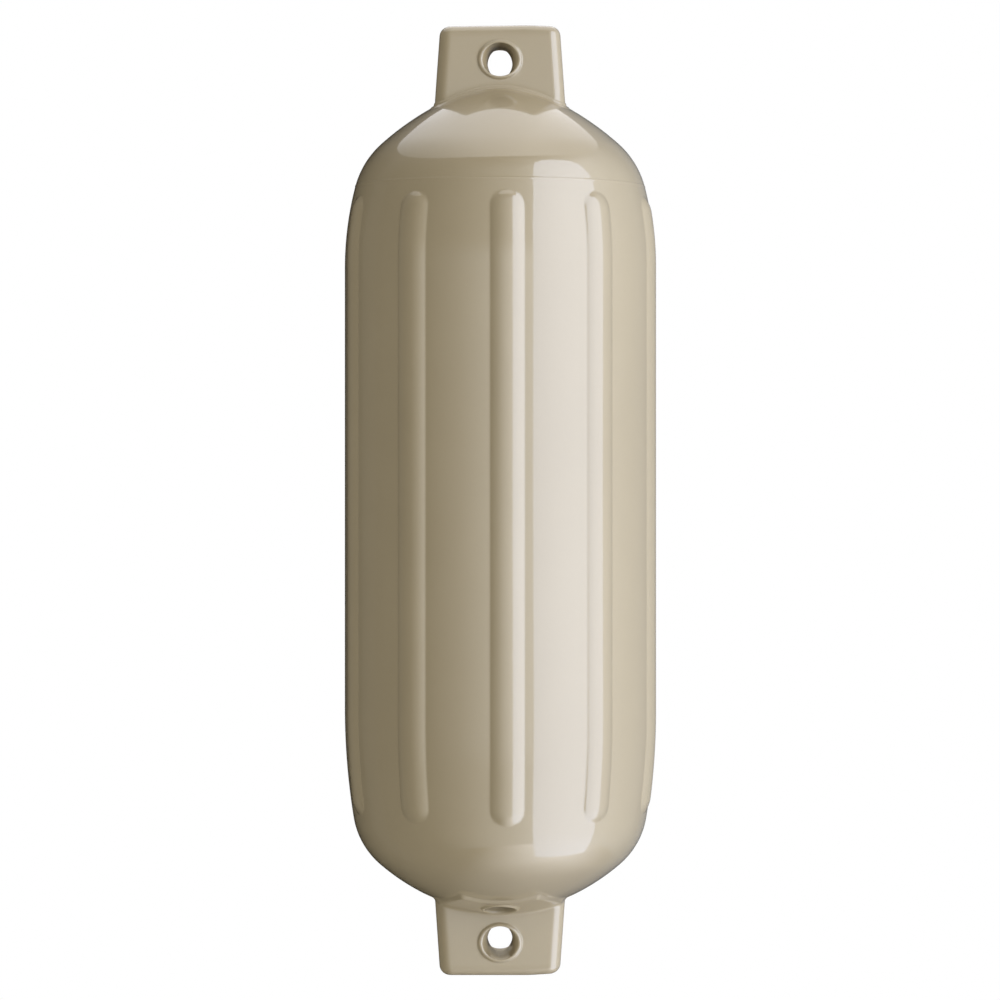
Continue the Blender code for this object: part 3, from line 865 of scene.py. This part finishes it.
def vinyl_look(looks):
    """Glossy moulded vinyl: a clear glossy top over a softer shine, faintly cloudy, with the
    slow waviness of a blown skin and a fine orange peel. It is duller inside the rope eyes
    and round the valve."""
    look = Look("glossy sand vinyl")
    place = look.place()
    cloud = look.noise(place, 9, 3)
    grain = look.noise(place, 420, 2)
    share = (cloud - 0.5) * 1.6 + (grain - 0.5) * 0.25 + 0.35
    shade = look.mix(share, rgba(looks.vinyl), rgba(looks.vinyl_deep))
    x, y, z = look.parts(place)
    from_eye = look.maths("ABSOLUTE", z) - EYE_HEIGHT
    near_eye = (x * x + from_eye * from_eye) * (0.5 / EYE_REACH**2)
    y = y - LIP_PLACE[0]
    z = z - LIP_PLACE[1]
    near_lip = (x * x + y * y + z * z) * (0.5 / LIP_REACH**2)
    near = look.maths("MINIMUM", near_eye, near_lip)
    coat = look.ramp(near, [(0, 0.3), (0.4, 0.3), (0.55, 1), (1, 1)])
    slow = look.noise(place, 17, 1)
    peel = look.noise(place, 230, 2)
    wavy = look.bump(slow, 0.35, 1.2 * MM)
    skin = look.bump(peel, 0.1, 0.12 * MM, wavy)
    return look.shader(
        Base_Color=shade,
        Roughness=0.92 - coat * 0.5 + look.noise(place, 60, 3) * 0.1,
        IOR=1.5,
        Specular_IOR_Level=0.35,
        Coat_Weight=coat,
        Coat_Roughness=0.05,
        Coat_IOR=1.5,
        Normal=skin,
    )


def plastic_look(name, shade, roughness):
    """Satin plastic with fine tool marks and a faint mottle."""
    look = Look(name)
    place = look.place()
    mottle = look.noise(place, 300, 3)
    marks = look.noise(place, 1400, 1)
    return look.shader(
        Base_Color=look.mix(mottle, rgba(shade, 0.85), rgba(shade, 1.12)),
        Roughness=roughness + (mottle - 0.5) * 0.16,
        Normal=look.bump(marks, 0.25, 0.08 * MM),
    )


def rubber_look(shade):
    """Matt rubber with a fine powdery grain."""
    look = Look("black rubber")
    place = look.place()
    grain = look.noise(place, 2200, 3)
    return look.shader(
        Base_Color=look.mix(grain, rgba(shade, 0.7), rgba(shade, 1.8)),
        Roughness=0.62 + grain * 0.2,
        Normal=look.bump(grain, 0.3, 0.06 * MM),
    )


def dress(obj, material):
    obj.data.materials.clear()
    obj.data.materials.append(material)


class FENDER_OT_body(Operator):
    """Builds the one moulding: ribbed barrel, domes, ears with rope eyes, and valve recess."""

    bl_idname = "fender.body"
    bl_label = "Moulded body"

    def execute(self, context):
        scene = context.scene
        barrel, ears, valve = scene.fender_barrel, scene.fender_ears, scene.fender_valve
        top, low = shoulders(barrel)
        columns = column_angles(barrel)
        land = Land(valve, low, ears.thickness / 2)
        shared = (ears, columns, barrel.rib_turn)
        top_places = packed(0, 1, 17, (0, 0.1, 1.5))
        low_places = packed(0, 1, LOW_DOME_ROWS, (0, 0.06, 1.5), (0.56, 0.08, 2.4))
        upper = Ear(
            *shared, top.height, top.rim, ears.root_top, ears.root_bead, ears.tip_tilt, top_places
        )
        lower = Ear(*shared, land.height, low.rim, ears.root_low, 0.0, 0.0, low_places)
        down = np.array([1, 1, -1])
        middle = barrel_rows(barrel, top, low, columns)
        skin = Skin(np.concatenate([upper.rows, middle, (lower.rows * down)[::-1]]))

        half = int(np.searchsorted(upper.rows[upper.wall_start, : skin.columns // 4, 0], EYE_WINDOW))
        tip = CAD_HIGH.z
        start = upper.wall_start
        end = start + Ear.WALL_ROWS
        place = (tip - ears.top_eye, ears.top_stretch, ears.top_drop)
        cut_eye(skin, start + 1, end - 1, half, ears, *place)
        last = skin.rows - 1 - lower.wall_start
        rows = (last - Ear.WALL_ROWS + 1, last - 1)
        cut_eye(skin, *rows, half, ears, ears.low_eye - tip, ears.low_stretch, 0)

        rows = skin.rows - 1 - lower.dome_start
        front = skin.points[0].reshape(skin.rows, skin.columns, 3)
        reach = -front[:, 0, 1]
        wide = int(np.searchsorted(front[rows, : skin.columns // 4, 0], RECESS_WINDOW))
        near = reach[rows - LOW_DOME_ROWS : rows] < RECESS_WINDOW_REACH
        outer = rows - int(np.sum(near))
        cut_recess(skin, outer, rows, wide, land)

        skin.close(skin.numbers[0], (0, 0, tip - ears.tip_tilt / 2))
        skin.close(skin.numbers[-1], (0, 0, -tip))
        body = skin.mesh("fender_skin")
        dress(body, vinyl_look(scene.fender_looks))
        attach(body, "root")
        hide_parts("fender_body")
        return {"FINISHED"}


class FENDER_OT_valve(Operator):
    """Gives the valve's seat, screw and seal their finishes."""

    bl_idname = "fender.valve"
    bl_label = "Valve"

    def execute(self, context):
        looks = context.scene.fender_looks
        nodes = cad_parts
        dress(nodes["valve_seat"], plastic_look("black nylon", looks.bush, 0.38))
        dress(nodes["valve_screw"], plastic_look("grey plastic", looks.screw, 0.42))
        dress(nodes["screw_seal"], rubber_look(looks.seal))
        return {"FINISHED"}


def sheet(name, points):
    """A thin object from a grid of points (rows, columns, 3)."""
    rows, columns = points.shape[:2]
    numbers = np.arange(rows * columns).reshape(rows, columns)
    mesh = bpy.data.meshes.new(name)
    mesh.from_pydata(points.reshape(-1, 3).tolist(), [], quads(numbers, False).tolist())
    obj = bpy.data.objects.new(name, mesh)
    bpy.context.scene.collection.objects.link(obj)
    return obj


def card(name, points, strength, tint=(1, 1, 1)):
    """A glowing studio card seen only in reflections, from a grid of points."""
    obj = sheet(name, points)
    look = Look(name)
    look.shader(Base_Color=rgba((0, 0, 0)), Emission_Color=rgba(tint), Emission_Strength=strength)
    look.shader(Specular_IOR_Level=0.0, Roughness=1.0)
    dress(obj, look.material)
    obj.visible_camera = False
    obj.visible_diffuse = False
    obj.visible_shadow = False
    return obj


def upright_card(name, base, across, outline, strength, tint):
    """A tall card in the upright plane through a place and a direction in plan. Its outline is
    a list of (height, left edge, right edge) from its foot up, with straight lines between."""
    heights, lefts, rights = np.array(outline).T
    fine = np.linspace(heights[0], heights[-1], 60)
    edges = [np.interp(fine, heights, sides) for sides in (lefts, rights)]
    rows = []
    for height, left, right in zip(fine, *edges):
        ends = np.array([[left], [(left + right) / 2], [right]])
        plan = np.array(base) + ends * np.array(across)
        rows.append(np.column_stack([plan, [height] * 3]))
    return card(name, np.array(rows), strength, tint)


def grade(made, tint, across, back=((0, 1), (1, 1))):
    """Grades a card's glow from left to right and from front to back: stops of (place, level),
    where place 0.5 is on the fender's axis and place 1 is a metre to the right or behind."""
    look = Look(made.name, made.active_material.node_tree)
    x, y, _ = look.parts(look.place())
    level = look.ramp(x * 0.5 + 0.5, across) * look.ramp(y * 0.5 + 0.5, back)
    look.shader(Emission_Color=look.mix(level, rgba((0, 0, 0)), rgba(tint)))


def lamp(name, place, width, height, power):
    """A rectangular softbox that faces the middle of the fender and isn't mirrored in it."""
    data = bpy.data.lights.new(name, "AREA")
    data.shape = "RECTANGLE"
    data.size, data.size_y = width, height
    data.energy = power
    obj = bpy.data.objects.new(name, data)
    bpy.context.scene.collection.objects.link(obj)
    place = Vector(place)
    obj.location = place
    obj.rotation_euler = (-place).to_track_quat("-Z", "Y").to_euler()
    obj.visible_camera = False
    obj.visible_glossy = False
    return obj


def set_world(fill):
    """White to the camera and in reflections, and a plain fill on everything else."""
    world = bpy.data.worlds.new("studio")
    bpy.context.scene.world = world
    world.use_nodes = True
    look = Look("studio", world.node_tree)
    path = look.tree.nodes.new("ShaderNodeLightPath")
    seen = [Value(look, path.outputs[f"Is {ray} Ray"]) for ray in ("Camera", "Glossy", "Transmission")]
    white = seen[0] + seen[1] + seen[2]
    background = look.tree.nodes["Background"]
    look.feed(background, "Color", (1, 1, 1, 1))
    look.feed(background, "Strength", fill + (1 - fill) * white)


def disc(radius, middle):
    """Points of a round disc as rings from its middle to its rim."""
    rings = np.linspace(MM, radius, 8)[:, None]
    turn = np.linspace(0, 2 * np.pi, 73)[None, :]
    spots = np.broadcast_arrays(rings * np.sin(turn), rings * np.cos(turn), 0.0)
    return np.stack(spots, axis=2) + np.array(middle)


def add_surround(strength, tint):
    """A wide drape all round, seen only in reflections: brightest on the right, where its light
    fades towards the camera, and dark on the left and behind, so that the edges of the glossy
    fender stay as dark as in the photo. In front it is darker above and below."""
    tilt = np.linspace(-np.pi / 2, np.pi / 2, 25)[:, None]
    turn = np.linspace(0, 2 * np.pi, 49)[None, :]
    spots = [np.cos(tilt) * np.sin(turn), np.cos(tilt) * np.cos(turn), np.sin(tilt)]
    drape = card("surround", 4.0 * np.stack(np.broadcast_arrays(*spots), axis=2), strength)
    look = Look("surround", drape.active_material.node_tree)
    x, y, z = look.parts(look.place())
    turned = look.maths("ARCTAN2", x, 0 - y) * (0.5 / np.pi) + 0.5

    def round_it(stops):
        return look.ramp(turned, [((place + 180) / 360, level) for place, level in stops])

    stops = [(-180, 0), (-55, 0), (-30, 0.28), (-10, 0.7), (13, 0.92), (40, 1), (90, 1)]
    stops += [(112, 0.62), (137, 0.25), (160, 0.13), (180, 0)]
    level = round_it(stops)
    in_front = round_it([(-180, 0), (-90, 1), (20, 1), (45, 0), (180, 0)])
    height = z * 0.125 + 0.5
    beside = [(0, 0), (0.06, 0), (0.12, 1), (0.85, 1), (0.93, 0), (1, 0)]
    before = [(0, 0), (0.1, 0), (0.13, 0.68), (0.36, 0.72), (0.4, 1), (0.56, 1), (0.61, 0.42)]
    before += [(0.85, 0.4), (0.93, 0), (1, 0)]
    share = look.mix(in_front, look.ramp(height, beside), look.ramp(height, before)) * level
    look.shader(Emission_Color=look.mix(share, rgba((0, 0, 0)), rgba(tint)))


def add_floor(shade):
    """A round pale floor well below the hanging fender."""
    floor = sheet("studio_floor", disc(2.2, (0, 0, -0.95)))
    look = Look("pale floor")
    look.shader(Base_Color=rgba(shade), Roughness=0.8)
    dress(floor, look.material)
    floor.visible_glossy = False


def add_camera():
    """A long lens at the height of the fender's middle, with its frame shifted down."""
    data = bpy.data.cameras.new("camera")
    data.sensor_width = 36
    data.lens = 120.2
    data.shift_y = -0.08
    data.clip_end = 50
    camera = bpy.data.objects.new("camera", data)
    camera.location = (0, -2.4, 0.057)
    camera.rotation_euler = (np.pi / 2, 0, 0)
    bpy.context.scene.collection.objects.link(camera)
    bpy.context.scene.camera = camera


def add_lamps(studio):
    """A lamp on the right, one above the camera, and a weak one in place of the floor's light."""
    lamp("key", (1.35, -1.0, 0.35), 1.0, 1.8, studio.key)
    lamp("top", (0.15, -2.0, 0.95), 1.0, 0.8, studio.top)
    lamp("low", (0.35, -1.3, -0.85), 1.4, 0.5, studio.low)


def add_cards(studio, looks):
    """The tall card gives the long highlight, the strip the left edge, the small card the
    inside of the lower eye, and the round cards the glow on the two domes."""
    upright_card("side_card", *SIDE_PLAN, SIDE_OUTLINE, studio.side_card, looks.card_tint)
    upright_card("left_card", *LEFT_PLAN, LEFT_OUTLINE, studio.left_card, (1, 1, 1))
    upright_card("eye_card", *EYE_PLAN, EYE_OUTLINE, studio.eye_card, looks.eye_tint)
    low_card = card("low_card", disc(0.85, (0.2, 0, -0.93)), studio.low_card)
    grade(low_card, looks.top_tint, LOW_ACROSS, LOW_BACK)
    top_card = card("top_card", disc(0.79, (-0.05, 0.3, 1.0)), studio.top_card)
    grade(top_card, looks.top_tint, TOP_ACROSS)


class FENDER_OT_stage(Operator):
    """Sets the camera, the floor, the lamps and the cards."""

    bl_idname = "fender.stage"
    bl_label = "Studio"

    def execute(self, context):
        context.scene.view_settings.view_transform = "Standard"
        studio, looks = context.scene.fender_studio, context.scene.fender_looks
        set_world(studio.fill)
        add_surround(studio.drape, looks.drape_tint)
        add_floor(looks.floor)
        add_camera()
        add_lamps(studio)
        add_cards(studio, looks)
        return {"FINISHED"}


class FENDER_PT_sidebar(Panel):
    """Lists the fender's sizes, colours and steps."""

    bl_idname = "FENDER_PT_sidebar"
    bl_label = "Boat fender"
    bl_space_type = "VIEW_3D"
    bl_region_type = "UI"
    bl_category = "Fender"

    def draw(self, context):
        for step in STEPS:
            self.layout.operator(step.bl_idname)
        for name in GROUPS:
            box = self.layout.box()
            settings = getattr(context.scene, name)
            for key in settings.__annotations__:
                box.prop(settings, key)


GROUPS = {
    "fender_barrel": FenderBarrel,
    "fender_ears": FenderEars,
    "fender_valve": FenderValve,
    "fender_looks": FenderLooks,
    "fender_studio": FenderStudio,
}
STEPS = (FENDER_OT_body, FENDER_OT_valve, FENDER_OT_stage)


def register():
    for made in (*GROUPS.values(), *STEPS, FENDER_PT_sidebar):
        bpy.utils.register_class(made)
    for name, group in GROUPS.items():
        setattr(bpy.types.Scene, name, PointerProperty(type=group))


def unregister():
    for name in GROUPS:
        delattr(bpy.types.Scene, name)
    for made in (FENDER_PT_sidebar, *STEPS[::-1], *GROUPS.values()):
        bpy.utils.unregister_class(made)


def main():
    register()
    bpy.ops.fender.body()
    bpy.ops.fender.valve()
    bpy.ops.fender.stage()


if __name__ == "__main__":
    main()
